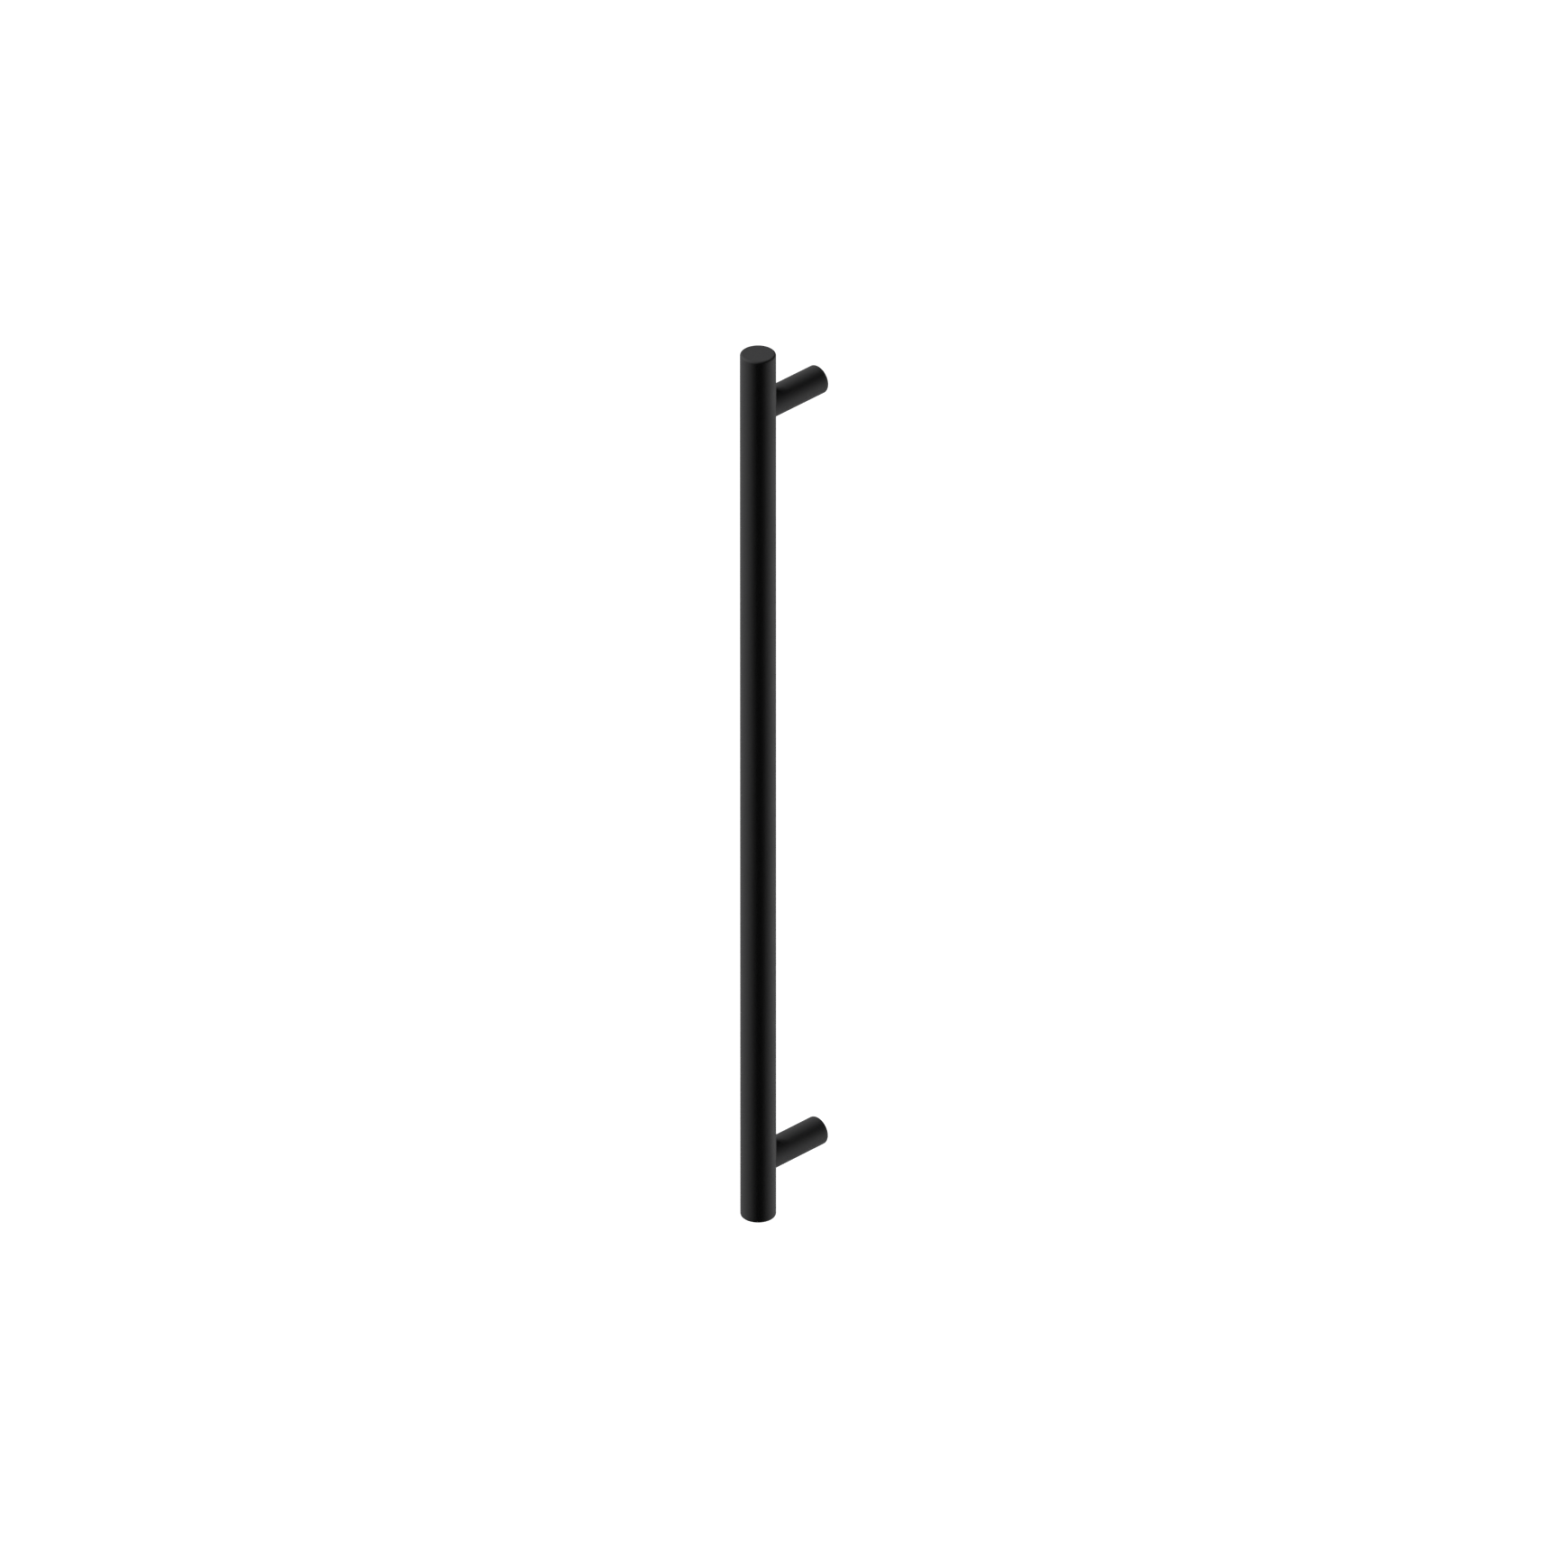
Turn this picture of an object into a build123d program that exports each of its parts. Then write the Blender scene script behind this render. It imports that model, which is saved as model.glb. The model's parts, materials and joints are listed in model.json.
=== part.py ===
from build123d import *
import math
import os

# Round bar door pull: a solid bar stands off the door on two round posts.
# Each post is let into a flat-bottomed seat in the bar and drawn up on a socket set stud.
# The door face is the plane y = 0 with the door on its +Y side, and the bar runs along Z.
# The origin is on the door face, midway between the two fixing holes. Sizes are in mm.
# Threads are drawn as plain walls: a hole at its tapping size, a stud at its core.

# Bar
bar_diameter = 19.05
bar_overhang = 33.34              # from a post's axis to the end of the bar
bar_end_radius = 1.25             # rounded edge round each end face
bar_standoff = 44.45              # from the door face to the bar's axis

# Posts
fixing_centres = 457.2            # from one post's axis to the other's
post_diameter = 15.875
post_edge_break = 0.3             # chamfer round the foot on the door

# Seat of a post in the bar
seat_let_in = 0.4                 # depth of the seat where it is shallowest
seat_clearance = 0.05             # round the post, on the radius

# Tapped holes
fixing_tapping_diameter = 5.1     # in the foot of a post, for a 6.35 mm screw through the door
fixing_hole_depth = 20.0
joint_tapping_diameter = 6.6      # in the bar and the post, for a 7.94 mm stud
mouth_widening = 0.75             # countersink at a hole's mouth, on the radius
mouth_angle = 120.0
drill_point_angle = 118.0

# Socket set stud that joins a post to the bar
stud_in_bar = 8.0
stud_in_post = 11.0
stud_clearance = 0.05             # round the stud's core, on the radius
stud_end_room = 1.0               # from each end of the stud to the bottom of its hole
stud_end_chamfer = 0.7
socket_across_flats = 4.0
socket_depth = 4.0

# Worked out from the sizes above
bar_radius = bar_diameter / 2
bar_length = fixing_centres + 2 * bar_overhang
post_radius = post_diameter / 2
seat_radius = post_radius + seat_clearance
seat_height = math.sqrt(bar_radius**2 - seat_radius**2) - seat_let_in    # above the bar's axis
post_length = bar_standoff - seat_height
fixing_radius = fixing_tapping_diameter / 2
joint_radius = joint_tapping_diameter / 2
stud_radius = joint_radius - stud_clearance
post_heights = {"upper": fixing_centres / 2, "lower": -fixing_centres / 2}


def rod(radius, bottom, top):
    # Round rod along Z between two heights.
    return Pos(0, 0, (bottom + top) / 2) * Cylinder(radius, top - bottom)


def drilled_hole(radius, depth):
    # Blind hole that runs down from z = 0, with the drill's point below its full depth.
    point_length = radius / math.tan(math.radians(drill_point_angle / 2))
    point = Pos(0, 0, -depth - point_length / 2) * Cone(0, radius, point_length)
    return rod(radius, -depth, 0) + point


def tapped_hole(radius, depth):
    # Drilled hole with a countersunk mouth at z = 0.
    mouth_depth = mouth_widening / math.tan(math.radians(mouth_angle / 2))
    mouth = Pos(0, 0, -mouth_depth / 2) * Cone(radius, radius + mouth_widening, mouth_depth)
    return drilled_hole(radius, depth) + mouth


def seat_frame(height):
    # Frame on the floor of a seat, with its Z axis pointing at the door.
    return Pos(0, seat_height - bar_standoff, height) * Rot(-90, 0, 0)


def grip_bar():
    bar = Cylinder(bar_radius, bar_length)
    bar = fillet(bar.edges().filter_by(GeomType.CIRCLE), bar_end_radius)
    bar = Pos(0, -bar_standoff, 0) * bar
    seat = rod(seat_radius, 0, bar_radius) + drilled_hole(joint_radius, stud_in_bar + stud_end_room)
    for height in post_heights.values():
        bar -= seat_frame(height) * seat
    return bar


def post():
    # Stands on its bar end at z = 0, with its foot against the door at z = post_length.
    body = rod(post_radius, 0, post_length)
    body = chamfer(body.edges().group_by(Axis.Z)[-1], post_edge_break)
    body -= Pos(0, 0, post_length) * tapped_hole(fixing_radius, fixing_hole_depth)
    body -= Rot(180, 0, 0) * tapped_hole(joint_radius, stud_in_post + stud_end_room)
    return body


def joining_stud():
    # Reaches down from the seat at z = 0 into the bar and up into the post.
    body = rod(stud_radius, -stud_in_bar, stud_in_post)
    body = chamfer(body.edges().filter_by(GeomType.CIRCLE), stud_end_chamfer)
    hexagon = RegularPolygon(socket_across_flats / 2, 6, major_radius=False)
    return body - Pos(0, 0, stud_in_post - socket_depth) * extrude(hexagon, socket_depth)


pieces = {"grip_bar": grip_bar()}
for place, height in post_heights.items():
    pieces[f"{place}_post"] = seat_frame(height) * post()
    pieces[f"{place}_joining_stud"] = seat_frame(height) * joining_stud()

os.makedirs("parts", exist_ok=True)
for name, piece in pieces.items():
    export_step(piece, f"parts/{name}.step")
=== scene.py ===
import json
import math

import bmesh
import bpy
import numpy as np
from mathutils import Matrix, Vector


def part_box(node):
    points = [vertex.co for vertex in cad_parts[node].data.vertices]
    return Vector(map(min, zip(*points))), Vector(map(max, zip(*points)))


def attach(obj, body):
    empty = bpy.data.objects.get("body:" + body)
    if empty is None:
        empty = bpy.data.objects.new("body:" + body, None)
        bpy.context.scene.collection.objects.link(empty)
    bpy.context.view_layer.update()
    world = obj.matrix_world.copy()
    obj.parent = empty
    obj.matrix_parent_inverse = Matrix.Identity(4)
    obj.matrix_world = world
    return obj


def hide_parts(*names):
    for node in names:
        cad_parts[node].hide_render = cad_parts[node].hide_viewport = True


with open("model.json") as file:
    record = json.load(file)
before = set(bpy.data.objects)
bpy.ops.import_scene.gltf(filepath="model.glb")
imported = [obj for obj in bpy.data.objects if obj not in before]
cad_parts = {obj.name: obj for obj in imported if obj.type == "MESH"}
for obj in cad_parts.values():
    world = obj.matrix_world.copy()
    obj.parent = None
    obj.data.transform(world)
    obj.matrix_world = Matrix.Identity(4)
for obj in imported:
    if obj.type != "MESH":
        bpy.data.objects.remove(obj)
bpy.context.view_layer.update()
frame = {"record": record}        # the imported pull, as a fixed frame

millimetres = 1000.0                 # in a metre

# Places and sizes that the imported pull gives, in metres
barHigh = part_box("grip_bar")[1]
barRadius = barHigh.x
barHalf = barHigh.z
barAxisY = barHigh.y - barRadius
postLow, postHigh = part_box("upper_post")
postRadius = postHigh.x
postHeight = (postLow.z + postHigh.z) / 2
postHeights = {"upper": postHeight, "lower": -postHeight}
seatY = postLow.y        # floor of the seat that a post stands on in the bar
doorY = postHigh.y
studLow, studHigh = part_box("upper_joining_stud")
mountSizes = {mount["name"]: mount["dims"] for mount in frame["record"]["mounts"]}
print("frame read: bar radius %.2f mm, post radius %.2f mm" % (
    barRadius * millimetres, postRadius * millimetres))

# Grids and meshes


def gridFaces(rows, columns, wraps):
    # Quad at each cell: a corner's number is row times columns plus column.
    # A wrapping grid joins its last column to its first.
    row = np.arange(rows - 1)[:, None]
    column = np.arange(columns if wraps else columns - 1)[None, :]
    near = row * columns + column
    far = row * columns + (column + 1) % columns
    return np.stack([near, far, far + columns, near + columns], axis=-1).reshape(-1, 4)


def sheetOf(points, wraps=True, finish=0):
    # One surface patch: points[row, column] with its quads and the number of the finish that it wears.
    rows, columns = points.shape[:2]
    return points.reshape(-1, 3), gridFaces(rows, columns, wraps), finish


def evenShares(steps):
    # Even shares from 0 to 1, one to a row.
    return np.linspace(0.0, 1.0, steps + 1)[:, None]


def evenAngles(columns):
    # Even angles round one turn, one to a column.
    return (np.arange(columns) * 2 * np.pi / columns)[None, :]


def fullTurn(angle):
    # Angles of one ring, made to rise, with the first repeated a turn later.
    rising = np.unwrap(angle, axis=1)
    return np.concatenate([rising, rising[:, :1] + 2 * np.pi], axis=1)


def turned(radius, along, angle, height):
    # Turned surface about a line along Y at this height: x = r cos a, y = along, z = height + r sin a.
    radius, along, angle = np.broadcast_arrays(radius, along, angle)
    return np.stack([radius * np.cos(angle), along, height + radius * np.sin(angle)], axis=-1)


joinery = dict(mergeWithin=2e-6, sharpAngle=32.0)        # metres, degrees


def joinedMesh(name, sheets, finishes):
    # Puts the patches one after another, merges them on their shared rims and turns the faces outwards.
    starts = np.cumsum([0] + [len(points) for points, faces, finish in sheets])
    points = np.concatenate([sheet[0] for sheet in sheets])
    faces = np.concatenate([sheet[1] + start for sheet, start in zip(sheets, starts)])
    worn = np.concatenate([np.full(len(sheet[1]), sheet[2]) for sheet in sheets])
    mesh = bpy.data.meshes.new(name)
    mesh.from_pydata(points.tolist(), [], faces.tolist())
    mesh.polygons.foreach_set("material_index", worn.astype(np.int32))
    for finish in finishes:
        mesh.materials.append(finish)
    work = bmesh.new()
    work.from_mesh(mesh)
    bmesh.ops.remove_doubles(work, verts=work.verts, dist=joinery["mergeWithin"])
    bmesh.ops.recalc_face_normals(work, faces=work.faces)
    work.to_mesh(mesh)
    work.free()
    mesh.shade_smooth()
    mesh.set_sharp_from_angle(angle=math.radians(joinery["sharpAngle"]))
    return mesh


def openEdges(mesh):
    # Count of the edges on which more or fewer than two faces meet.
    edgeOfCorner = np.empty(len(mesh.loops), dtype=np.int32)
    mesh.loops.foreach_get("edge_index", edgeOfCorner)
    return np.count_nonzero(np.bincount(edgeOfCorner, minlength=len(mesh.edges)) != 2)


def addPiece(name, sheets, finishes, node):
    # Closed piece that stands for a node. All pieces stay with the pull's one body.
    mesh = joinedMesh(name, sheets, finishes)
    piece = bpy.data.objects.new(name, mesh)
    bpy.context.scene.collection.objects.link(piece)
    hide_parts(node)
    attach(piece, "root")
    print("%s: %d faces, %d open edges" % (name, len(mesh.polygons), openEdges(mesh)))


# Threads and tapped holes

threadForm = dict(coreFlat=0.25, outsideFlat=0.125)      # shares of the pitch
studRoom = dict(core=0.00005, end=0.001)                 # round a stud's core, and past each of its ends
fixingThread = dict(         # for the screw through the door
    tapping=mountSizes["upper_fixing_hole"]["r_mm"] / millimetres,        # radius of the drilled hole
    outside=0.003175,        # radius at the bottom of the thread
    pitch=0.00127,
    depth=0.020,             # to the shoulder of the drill's point
)
jointThread = dict(          # for the stud between bar and post
    tapping=studHigh.x + studRoom["core"],
    outside=0.00397,
    pitch=0.001411,
    depth=studHigh.y - seatY + studRoom["end"],          # in the post
    barDepth=seatY - studLow.y + studRoom["end"],        # in the bar
)
tapping = dict(
    mouthWidening=0.00075,   # countersink at a hole's mouth, on the radius
    mouthAngle=120.0,        # whole angle of the countersink, in degrees
    mouthRings=4,
    drillAngle=118.0,        # whole angle of the drill's point
    pointRings=2,
    meetingSamples=600,      # down a cone, to find where it meets the thread
)


def threadWave(along, angle, pitch):
    # Right-hand thread, 0 at its core and 1 at its outside: a triangle wave of y / pitch + a / turn,
    # cut flat at both.
    phase = np.mod(along / pitch + angle / (2 * np.pi), 1.0)
    triangle = 1.0 - np.abs(2.0 * phase - 1.0)
    flank = 1.0 - threadForm["coreFlat"] - threadForm["outsideFlat"]
    return np.clip((triangle - threadForm["coreFlat"]) / flank, 0.0, 1.0)


def threadBends():
    # Shares of a turn at which the thread's section has a row: the middle of the core's flat,
    # the two ends and the middle of the rising flank, and the same three on the falling flank.
    flankStart = threadForm["coreFlat"] / 2
    flankEnd = 0.5 - threadForm["outsideFlat"] / 2
    rising = np.array([flankStart, (flankStart + flankEnd) / 2, flankEnd])
    return np.concatenate([[0.0], rising, 1.0 - rising[::-1]])


def threadRows(lowY, highY, angle, pitch):
    # Rows that run with the thread: y = pitch * (turn + bend - a / turn).
    # What would run past an end lies on that end, so an end stays flat.
    first = math.floor(np.min(lowY) / pitch + np.min(angle) / (2 * np.pi)) - 1
    last = math.ceil(np.max(highY) / pitch + np.max(angle) / (2 * np.pi)) + 1
    phase = (np.arange(first, last)[:, None] + threadBends()).reshape(-1, 1)
    return np.clip(pitch * (phase - angle / (2 * np.pi)), lowY, highY)


def firstMeeting(gap, reach):
    # Least depth, for each column, at which a gap that starts above zero has closed: sampled down to reach.
    deep = np.linspace(0.0, reach, tapping["meetingSamples"])[:, None]
    closed = gap(deep) <= 0
    row = np.where(closed.any(axis=0), closed.argmax(axis=0), len(deep) - 1)
    return deep[row, 0][None, :]


def tappedHole(thread, mouthY, depth, inward, angle, height, widening):
    # Tapped hole, in three patches: the mouth's cone, the threaded wall and the drill's point.
    # Wall: tapping radius plus the thread wave, which fades out over the last turn.
    # Cone: widest at the mouth and narrowing with depth; the hole has the greater radius of the two.
    angle = fullTurn(angle)
    slope = math.tan(math.radians(tapping["mouthAngle"] / 2))

    def wallRadius(deep):
        fade = np.clip((depth - deep) / thread["pitch"], 0.0, 1.0)
        wave = threadWave(mouthY + inward * deep, angle, thread["pitch"])
        return thread["tapping"] + (thread["outside"] - thread["tapping"]) * fade * wave

    def coneRadius(deep):
        return thread["tapping"] + widening - deep * slope

    def holeRadius(deep):
        return np.maximum(wallRadius(deep), coneRadius(deep))

    sheets = []
    start = np.zeros_like(angle)
    if widening > 0:
        start = firstMeeting(lambda deep: coneRadius(deep) - wallRadius(deep), widening / slope)
        coneDeep = start * evenShares(tapping["mouthRings"])
        sheets.append(turned(holeRadius(coneDeep), mouthY + inward * coneDeep, angle, height))
    ends = np.stack([mouthY + inward * start, np.full_like(start, mouthY + inward * depth)])
    along = threadRows(ends.min(axis=0), ends.max(axis=0), angle, thread["pitch"])
    sheets.append(turned(holeRadius(inward * (along - mouthY)), along, angle, height))
    share = evenShares(tapping["pointRings"])
    pointLength = thread["tapping"] / math.tan(math.radians(tapping["drillAngle"] / 2))
    pointAlong = mouthY + inward * (depth + share * pointLength)
    sheets.append(turned((1 - share) * thread["tapping"], pointAlong, angle, height))
    return [sheetOf(points, wraps=False, finish=1) for points in sheets]


# Finishes


def newFinish(name):
    # Finish with its node tree, its shader and the place on the piece that its patterns read.
    finish = bpy.data.materials.new(name)
    finish.use_nodes = True
    tree = finish.node_tree
    place = tree.nodes.new("ShaderNodeTexCoord")
    return finish, tree, tree.nodes["Principled BSDF"], place.outputs["Object"]


def spotNoise(tree, place, size, detail):
    # Noise with so many spots to the metre.
    noise = tree.nodes.new("ShaderNodeTexNoise")
    noise.inputs["Scale"].default_value = size
    noise.inputs["Detail"].default_value = detail
    tree.links.new(place, noise.inputs["Vector"])
    return noise.outputs["Fac"]


def toneBetween(tree, noise, low, high):
    # Colour that goes from one tone to the other as the noise goes from 0 to 1.
    tone = tree.nodes.new("ShaderNodeMix")
    tone.data_type = "RGBA"
    tone.inputs["A"].default_value = low
    tone.inputs["B"].default_value = high
    tree.links.new(noise, tone.inputs["Factor"])
    return tone.outputs["Result"]


def numberBetween(tree, noise, noiseRange, numbers):
    # Number that goes from one value to the other as the noise crosses its range.
    spread = tree.nodes.new("ShaderNodeMapRange")
    spread.inputs["From Min"].default_value = noiseRange[0]
    spread.inputs["From Max"].default_value = noiseRange[1]
    spread.inputs["To Min"].default_value = numbers[0]
    spread.inputs["To Max"].default_value = numbers[1]
    tree.links.new(noise, spread.inputs["Value"])
    return spread.outputs["Result"]


def dimples(tree, noise, height):
    # Bump whose height follows the noise.
    bump = tree.nodes.new("ShaderNodeBump")
    bump.inputs["Strength"].default_value = 1.0
    bump.inputs["Distance"].default_value = height
    tree.links.new(noise, bump.inputs["Height"])
    return bump


def dressShader(tree, shader, tone, roughness, skin):
    # Gives the shader its colour, its roughness and its skin.
    tree.links.new(tone, shader.inputs["Base Color"])
    tree.links.new(roughness, shader.inputs["Roughness"])
    tree.links.new(skin.outputs["Normal"], shader.inputs["Normal"])


mattCoat = dict(
    paleBlack=(0.051, 0.051, 0.052, 1.0),
    deepBlack=(0.043, 0.043, 0.044, 1.0),
    cloudSize=45.0,          # clouds per metre in the coat's depth of black
    cloudDetail=4.0,
    cloudRange=(0.3, 0.7),   # values of the clouds over which the roughness changes
    roughness=(0.55, 0.65),
    shine=0.02,
    peelSize=1100.0,         # dimples per metre in the sprayed skin
    peelHeight=0.00003,
    grainSize=6500.0,        # specks per metre in the skin
    grainHeight=0.000014,
    skinDetail=1.0,
)


def mattBlackCoat():
    # Sprayed matt black: a dimpled, grainy skin, with slow clouds in its black and its sheen.
    finish, tree, shader, place = newFinish("mattBlackCoat")
    shader.inputs["Specular IOR Level"].default_value = mattCoat["shine"]
    clouds = spotNoise(tree, place, mattCoat["cloudSize"], mattCoat["cloudDetail"])
    tone = toneBetween(tree, clouds, mattCoat["deepBlack"], mattCoat["paleBlack"])
    roughness = numberBetween(tree, clouds, mattCoat["cloudRange"], mattCoat["roughness"])
    peelNoise = spotNoise(tree, place, mattCoat["peelSize"], mattCoat["skinDetail"])
    grainNoise = spotNoise(tree, place, mattCoat["grainSize"], mattCoat["skinDetail"])
    peel = dimples(tree, peelNoise, mattCoat["peelHeight"])
    grain = dimples(tree, grainNoise, mattCoat["grainHeight"])
    tree.links.new(peel.outputs["Normal"], grain.inputs["Normal"])
    dressShader(tree, shader, tone, roughness, grain)
    return finish


bareSteel = dict(
    bright=(0.46, 0.46, 0.47, 1.0),
    dull=(0.30, 0.295, 0.29, 1.0),
    smearSize=420.0,         # oily smears per metre
    smearDetail=3.0,
    smearRange=(0.0, 1.0),   # values of the smears over which the roughness changes
    roughness=(0.28, 0.5),
    markSize=5200.0,         # fine cutting marks per metre
    markDetail=1.0,
    markHeight=0.000004,
)


def cutSteel():
    # Freshly tapped steel: fine cutting marks and a smear of oil.
    finish, tree, shader, place = newFinish("cutSteel")
    shader.inputs["Metallic"].default_value = 1.0
    smears = spotNoise(tree, place, bareSteel["smearSize"], bareSteel["smearDetail"])
    tone = toneBetween(tree, smears, bareSteel["dull"], bareSteel["bright"])
    roughness = numberBetween(tree, smears, bareSteel["smearRange"], bareSteel["roughness"])
    markNoise = spotNoise(tree, place, bareSteel["markSize"], bareSteel["markDetail"])
    marks = dimples(tree, markNoise, bareSteel["markHeight"])
    dressShader(tree, shader, tone, roughness, marks)
    return finish


coat = mattBlackCoat()
steel = cutSteel()
print("finishes ready")

# Grip bar

grip = dict(
    around=144,              # columns round the bar
    endRadius=0.00125,       # rounded edge at each end
    endSteps=10,
    capRings=(0.985, 0.6, 0.0),        # shares of an end face's radius, down to its middle
    seatClearance=0.00005,   # round a post in its seat
    seatRings=3,             # on a seat's wall and on its floor
    windowColumns=27,        # columns each side of a seat's middle that its window takes
    windowReach=0.0022,      # from the seat's rim to the window's upper and lower edges
    windowRows=36,
    windowRings=7,           # between a seat's rim and its window's edge
    overhangRows=12,         # from a window to the bar's end
    spanRows=60,             # from window to window
)
columnTurn = 2 * np.pi / grip["around"]
seatRadius = postRadius + grip["seatClearance"]
windowHalf = seatRadius + grip["windowReach"]


def barRows():
    # Outline of the bar from its lower pole to its upper pole: radius and height of each row.
    # The upper half goes straight up, round the end's edge and in to the pole; the lower half mirrors it.
    edge = grip["endRadius"]
    side = np.concatenate([
        np.linspace(0.0, postHeight - windowHalf, grip["spanRows"] // 2 + 1),
        np.linspace(postHeight - windowHalf, postHeight + windowHalf, grip["windowRows"] + 1)[1:],
        np.linspace(postHeight + windowHalf, barHalf - edge, grip["overhangRows"] + 1)[1:],
    ])
    turn = np.linspace(0.0, np.pi / 2, grip["endSteps"] + 1)[1:]
    cap = (barRadius - edge) * np.array(grip["capRings"])
    edgeRadius = barRadius - edge + edge * np.cos(turn)
    edgeHeight = barHalf - edge + edge * np.sin(turn)
    upperRadius = np.concatenate([np.full_like(side, barRadius), edgeRadius, cap])
    upperHeight = np.concatenate([side, edgeHeight, np.full_like(cap, barHalf)])
    radius = np.concatenate([upperRadius[:0:-1], upperRadius])
    height = np.concatenate([-upperHeight[:0:-1], upperHeight])
    return radius[:, None], height[:, None]


def barSkin():
    # Turned skin about Z: x = r sin u, y = axis + r cos u, with u = 0 on the door side.
    # A window is left open there round each seat.
    radius, height = barRows()
    turn = (np.arange(grip["around"]) - grip["around"] // 2) * columnTurn
    place = np.broadcast_arrays(radius * np.sin(turn), barAxisY + radius * np.cos(turn), height)
    points, faces, finish = sheetOf(np.stack(place, axis=-1))
    rowMiddle = (height[1:] + height[:-1]) / 2
    rowOpen = np.abs(np.abs(rowMiddle) - postHeight) < windowHalf
    columnOpen = np.abs(turn + columnTurn / 2) < grip["windowColumns"] * columnTurn
    return points, faces[~(rowOpen & columnOpen).reshape(-1)], finish


def windowRim():
    # Edge of a window, once round: turn about the bar, and rise from the seat's middle.
    side = np.arange(-grip["windowColumns"], grip["windowColumns"] + 1) * columnTurn
    rise = np.linspace(-windowHalf, windowHalf, grip["windowRows"] + 1)
    up, across = np.ones(len(rise) - 1), np.ones(len(side) - 1)
    rimTurn = np.concatenate([up * side[-1], side[:0:-1], up * side[0], side[:-1]])
    rimRise = np.concatenate([rise[:-1], across * rise[-1], rise[:0:-1], across * rise[0]])
    return rimTurn, rimRise


def seatPatches(height):
    # Skin between a window and its round seat, then the seat's wall, floor and tapped hole.
    # The skin goes straight, in the unrolled bar, from the seat's rim to the window's edge.
    rimTurn, rimRise = windowRim()
    angle = np.arctan2(rimRise / windowHalf, rimTurn / rimTurn.max())[None, :]
    seatX = seatRadius * np.cos(angle)
    seatRise = seatRadius * np.sin(angle)
    outwards = evenShares(grip["windowRings"])
    turn = (1 - outwards) * np.arcsin(seatX / barRadius) + outwards * rimTurn
    rise = (1 - outwards) * seatRise + outwards * rimRise
    skin = np.stack([barRadius * np.sin(turn), barAxisY + barRadius * np.cos(turn), height + rise], axis=-1)
    inwards = evenShares(grip["seatRings"])
    rimY = barAxisY + np.sqrt(barRadius**2 - seatX**2)
    wall = turned(seatRadius, rimY + inwards * (seatY - rimY), angle, height)
    threadDepth = jointThread["outside"] - jointThread["tapping"]
    holeRim = jointThread["tapping"] + threadDepth * threadWave(seatY, angle, jointThread["pitch"])
    floor = turned(seatRadius + inwards * (holeRim - seatRadius), seatY, angle, height)
    hole = tappedHole(jointThread, seatY, jointThread["barDepth"], -1.0, angle, height, widening=0.0)
    return [sheetOf(skin), sheetOf(wall), sheetOf(floor)] + hole


barSheets = [barSkin()] + seatPatches(postHeights["upper"]) + seatPatches(postHeights["lower"])
addPiece("gripBar", barSheets, [coat, steel], "grip_bar")

# Posts

stem = dict(
    around=96,               # columns round a post
    footEdge=0.0003,         # softened edge round the foot
    footSteps=4,
    endRings=4,              # on the foot and on the bar end
    wallRows=19,
)


def postSheets(height):
    # Turned post: its two tapped holes and the coated outside between their mouths.
    # The outside goes out over the foot, round its edge, along to the bar end and in over that.
    angle = evenAngles(stem["around"])
    widening = tapping["mouthWidening"]
    edge = stem["footEdge"]
    foot = np.linspace(fixingThread["tapping"] + widening, postRadius - edge, stem["endRings"] + 1)
    turn = np.linspace(0.0, np.pi / 2, stem["footSteps"] + 1)[1:]
    wall = np.linspace(doorY - edge, seatY, stem["wallRows"] + 1)[1:]
    barEnd = np.linspace(postRadius, jointThread["tapping"] + widening, stem["endRings"] + 1)[1:]
    edgeRadius = postRadius - edge + edge * np.sin(turn)
    edgeAlong = doorY - edge + edge * np.cos(turn)
    radius = np.concatenate([foot, edgeRadius, np.full_like(wall, postRadius), barEnd])
    along = np.concatenate([np.full_like(foot, doorY), edgeAlong, wall, np.full_like(barEnd, seatY)])
    outside = turned(radius[:, None], along[:, None], angle, height)
    fixing = tappedHole(fixingThread, doorY, fixingThread["depth"], -1.0, angle, height, widening)
    joint = tappedHole(jointThread, seatY, jointThread["depth"], 1.0, angle, height, widening)
    return [sheetOf(outside)] + fixing + joint


for end, height in postHeights.items():
    addPiece(end + "Post", postSheets(height), [coat, steel], end + "_post")

# Joining studs

stud = dict(
    around=96,               # columns, a multiple of 6 for the socket
    coreEase=0.00002,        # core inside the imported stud's plain wall
    crestEase=0.00008,       # crest inside the hole's thread
    endChamfer=0.0007,       # from the core in to each end's edge, at 45 degrees
    socketFlats=0.004,       # hexagon across flats
    socketDepth=0.004,
    rings=3,                 # on each end, cone and socket face
)


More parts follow.
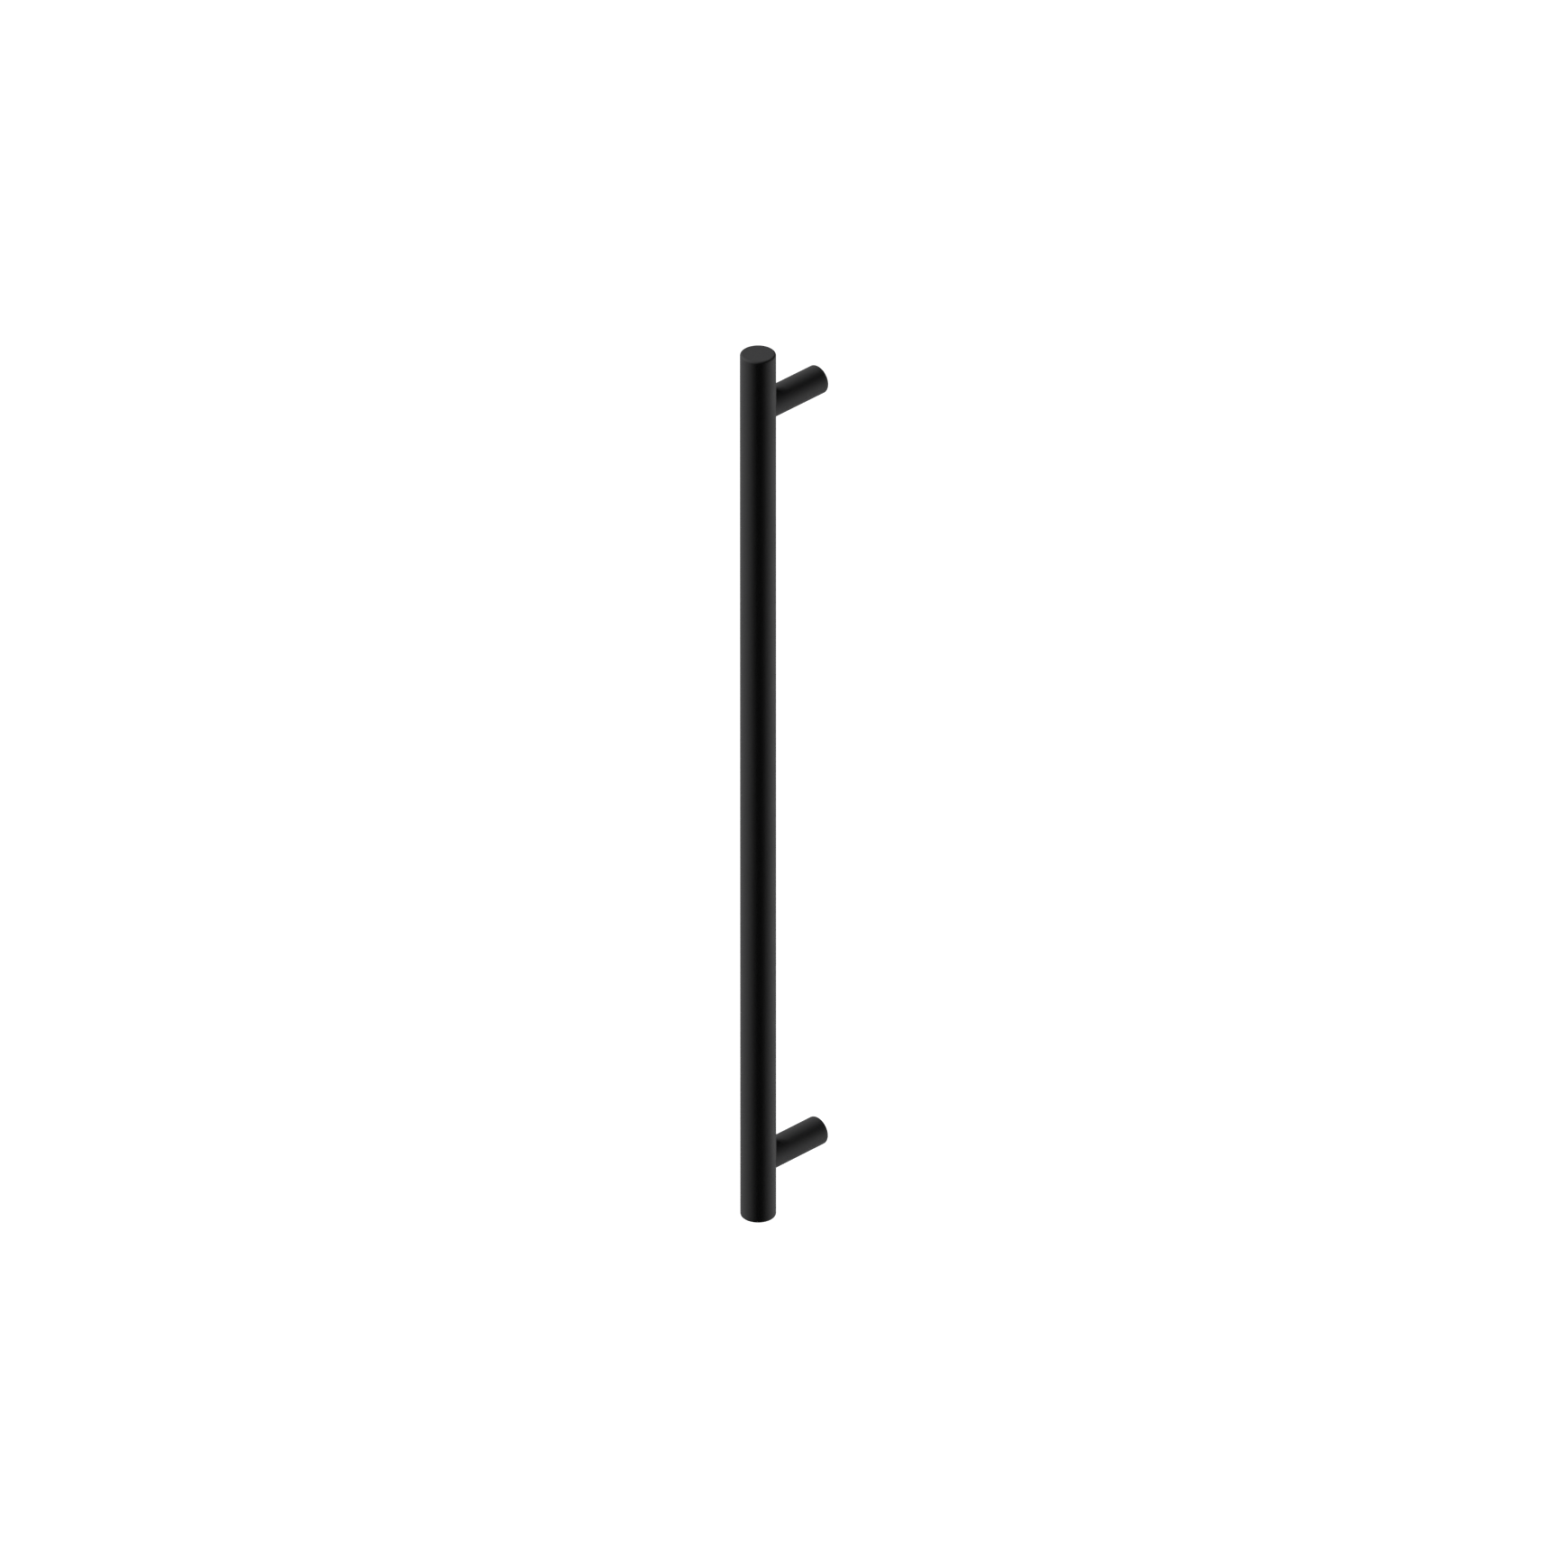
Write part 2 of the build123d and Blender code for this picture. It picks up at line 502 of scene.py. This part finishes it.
def studSheets(height):
    # Stud: core radius plus the thread wave, cut back by a 45 degree cone at each end, which stops
    # where it meets the thread, with a flat tip in the bar and a hexagon socket in the post.
    # Hexagon: half its flats over the cosine of the angle from the nearest flat's middle.
    angle = fullTurn(evenAngles(stud["around"]))
    pitch = jointThread["pitch"]
    core = studHigh.x - stud["coreEase"]
    crest = jointThread["outside"] - stud["crestEase"]
    endRadius = core - stud["endChamfer"]
    share = evenShares(stud["rings"])

    def threadRadius(along):
        return core + (crest - core) * threadWave(along, angle, pitch)

    def studRadius(along):
        fromEnd = np.minimum(along - studLow.y, studHigh.y - along)
        return np.minimum(threadRadius(along), endRadius + fromEnd)

    def coneDepth(endY, inward):
        return firstMeeting(lambda d: threadRadius(endY + inward * d) - endRadius - d, crest - endRadius)

    lowDeep = coneDepth(studLow.y, 1.0)
    highDeep = coneDepth(studHigh.y, -1.0)
    lowCone = studLow.y + lowDeep * share
    highCone = studHigh.y - highDeep * share
    body = threadRows(studLow.y + lowDeep, studHigh.y - highDeep, angle, pitch)
    sixth = np.pi / 3
    hexagon = stud["socketFlats"] / 2 / np.cos(np.mod(angle + sixth / 2, sixth) - sixth / 2)
    patches = [
        (share * endRadius, studLow.y),                                 # tip
        (studRadius(lowCone), lowCone),
        (studRadius(body), body),
        (studRadius(highCone), highCone),
        (endRadius + share * (hexagon - endRadius), studHigh.y),        # face round the socket
        (hexagon, studHigh.y - share * stud["socketDepth"]),            # socket wall
        (share * hexagon, studHigh.y - stud["socketDepth"]),            # socket floor
    ]
    return [sheetOf(turned(radius, along, angle, height), wraps=False) for radius, along in patches]


for end, height in postHeights.items():
    addPiece(end + "JoiningStud", studSheets(height), [steel], end + "_joining_stud")

# Stage, light and camera

studio = dict(
    white=(1.0, 1.0, 1.0, 1.0),
    ambient=0.03,            # world light on the object
    floorDrop=5.0,           # below the origin: the pull hangs clear of it, as on a door
    floorHalf=60.0,
    floorLines=5,
    floorPale=(0.8, 0.8, 0.8, 1.0),
    floorGlow=0.93,          # what the floor shows of itself, over its light and shadow
)
lamps = dict(                # degrees, metres and watts
    key=dict(azimuth=307.0, elevation=34.0, distance=8.0, width=2.3, height=3.4, watts=1010.0),
    fill=dict(azimuth=150.0, elevation=-22.0, distance=8.0, width=2.3, height=3.4, watts=650.0),
)
shot = dict(
    azimuth=45.0,
    elevation=30.0,
    lens=1400.0,
    sensor=36.0,
    picture=1740.0,                  # side of the photo, in its pixels
    pixelsPerMetre=2106.0,
    barMiddle=(841.25, 870.16),      # pixel of the photo that shows the middle of the bar's axis
    clipTimes=4.0,                   # far limit of the view, in camera distances
)


def outward(azimuth, elevation):
    # Direction from the object: azimuth 0 is -Y and 90 is +X, elevation is above the horizon, in degrees.
    a, e = math.radians(azimuth), math.radians(elevation)
    return Vector((math.sin(a) * math.cos(e), -math.cos(a) * math.cos(e), math.sin(e)))


def backgroundShare(tree):
    # 1 for camera, glossy and transmission rays, 0 for the rays that light the object.
    rays = tree.nodes.new("ShaderNodeLightPath")
    seen = tree.nodes.new("ShaderNodeMath")
    seen.operation = "ADD"
    tree.links.new(rays.outputs["Is Camera Ray"], seen.inputs[0])
    tree.links.new(rays.outputs["Is Glossy Ray"], seen.inputs[1])
    whole = tree.nodes.new("ShaderNodeMath")
    whole.operation = "ADD"
    whole.use_clamp = True
    tree.links.new(seen.outputs[0], whole.inputs[0])
    tree.links.new(rays.outputs["Is Transmission Ray"], whole.inputs[1])
    return whole.outputs[0]


def showApart(tree, lit, shown, outputName):
    # Mixes what lights the object with what is seen, by the background's share of the rays.
    mixed = tree.nodes.new("ShaderNodeMixShader")
    tree.links.new(backgroundShare(tree), mixed.inputs["Fac"])
    tree.links.new(lit.outputs[0], mixed.inputs[1])
    tree.links.new(shown.outputs[0], mixed.inputs[2])
    tree.links.new(mixed.outputs[0], tree.nodes[outputName].inputs["Surface"])


def makeWorld():
    # White where it is seen, a low even light where it only lights the object.
    world = bpy.data.worlds.new("studio")
    world.use_nodes = True
    tree = world.node_tree
    lit = tree.nodes["Background"]
    lit.inputs["Color"].default_value = studio["white"]
    lit.inputs["Strength"].default_value = studio["ambient"]
    shown = tree.nodes.new("ShaderNodeBackground")
    shown.inputs["Color"].default_value = studio["white"]
    showApart(tree, lit, shown, "World Output")
    bpy.context.scene.world = world


def paleFloor():
    # Matt pale grey, with a glow added where it is seen, so that it is near white and keeps its shadow.
    pale = bpy.data.materials.new("paleFloor")
    pale.use_nodes = True
    tree = pale.node_tree
    tree.nodes.remove(tree.nodes["Principled BSDF"])
    matt = tree.nodes.new("ShaderNodeBsdfDiffuse")
    matt.inputs["Color"].default_value = studio["floorPale"]
    glow = tree.nodes.new("ShaderNodeEmission")
    glow.inputs["Strength"].default_value = studio["floorGlow"]
    shown = tree.nodes.new("ShaderNodeAddShader")
    tree.links.new(matt.outputs[0], shown.inputs[0])
    tree.links.new(glow.outputs[0], shown.inputs[1])
    showApart(tree, matt, shown, "Material Output")
    return pale


def makeFloor():
    # Flat grid at z = -drop.
    side = np.linspace(-studio["floorHalf"], studio["floorHalf"], studio["floorLines"])
    x, y = np.meshgrid(side, side)
    flat = np.stack([x, y, np.full_like(x, -studio["floorDrop"])], axis=-1)
    points, faces = sheetOf(flat, wraps=False)[:2]
    mesh = bpy.data.meshes.new("studioFloor")
    mesh.from_pydata(points.tolist(), [], faces.tolist())
    mesh.materials.append(paleFloor())
    floor = bpy.data.objects.new("studioFloor", mesh)
    bpy.context.scene.collection.objects.link(floor)
    floor.visible_diffuse = False        # throws no light back at the object


def makeLamp(name, place, target):
    # Soft panel that faces the object.
    light = bpy.data.lights.new(name, "AREA")
    light.shape = "RECTANGLE"
    light.size = place["width"]
    light.size_y = place["height"]
    light.energy = place["watts"]
    lamp = bpy.data.objects.new(name, light)
    away = outward(place["azimuth"], place["elevation"])
    lamp.location = target + away * place["distance"]
    lamp.rotation_euler = away.to_track_quat("Z", "Y").to_euler()
    lamp.visible_camera = False
    bpy.context.scene.collection.objects.link(lamp)


def makeCamera(target):
    # Long lens for the picture's parallel view, as far back as its scale asks.
    # The aim puts the bar's middle on its pixel, and is raised by what such a lens lifts the two ends.
    back = outward(shot["azimuth"], shot["elevation"])
    facing = back.to_track_quat("Z", "Y")
    right, up = facing @ Vector((1, 0, 0)), facing @ Vector((0, 1, 0))
    metresPerPixel = 1.0 / shot["pixelsPerMetre"]
    distance = shot["picture"] * metresPerPixel * shot["lens"] / shot["sensor"]
    lift = ((barHalf + postHeight) / 2)**2 * back.z * up.z / distance
    across = (shot["picture"] / 2 - shot["barMiddle"][0]) * metresPerPixel
    down = (shot["picture"] / 2 - shot["barMiddle"][1]) * metresPerPixel
    aim = target + right * across + up * (lift - down)
    data = bpy.data.cameras.new("camera")
    data.lens = shot["lens"]
    data.sensor_width = shot["sensor"]
    data.clip_end = distance * shot["clipTimes"]
    camera = bpy.data.objects.new("camera", data)
    camera.location = aim + back * distance
    camera.rotation_euler = facing.to_euler()
    bpy.context.scene.collection.objects.link(camera)
    bpy.context.scene.camera = camera


middle = Vector((0.0, barAxisY, 0.0))
makeWorld()
makeFloor()
for lampName, lampPlace in lamps.items():
    makeLamp(lampName + "Panel", lampPlace, middle)
makeCamera(middle)
bpy.context.scene.view_settings.view_transform = "Standard"
print("stage, light and camera ready")
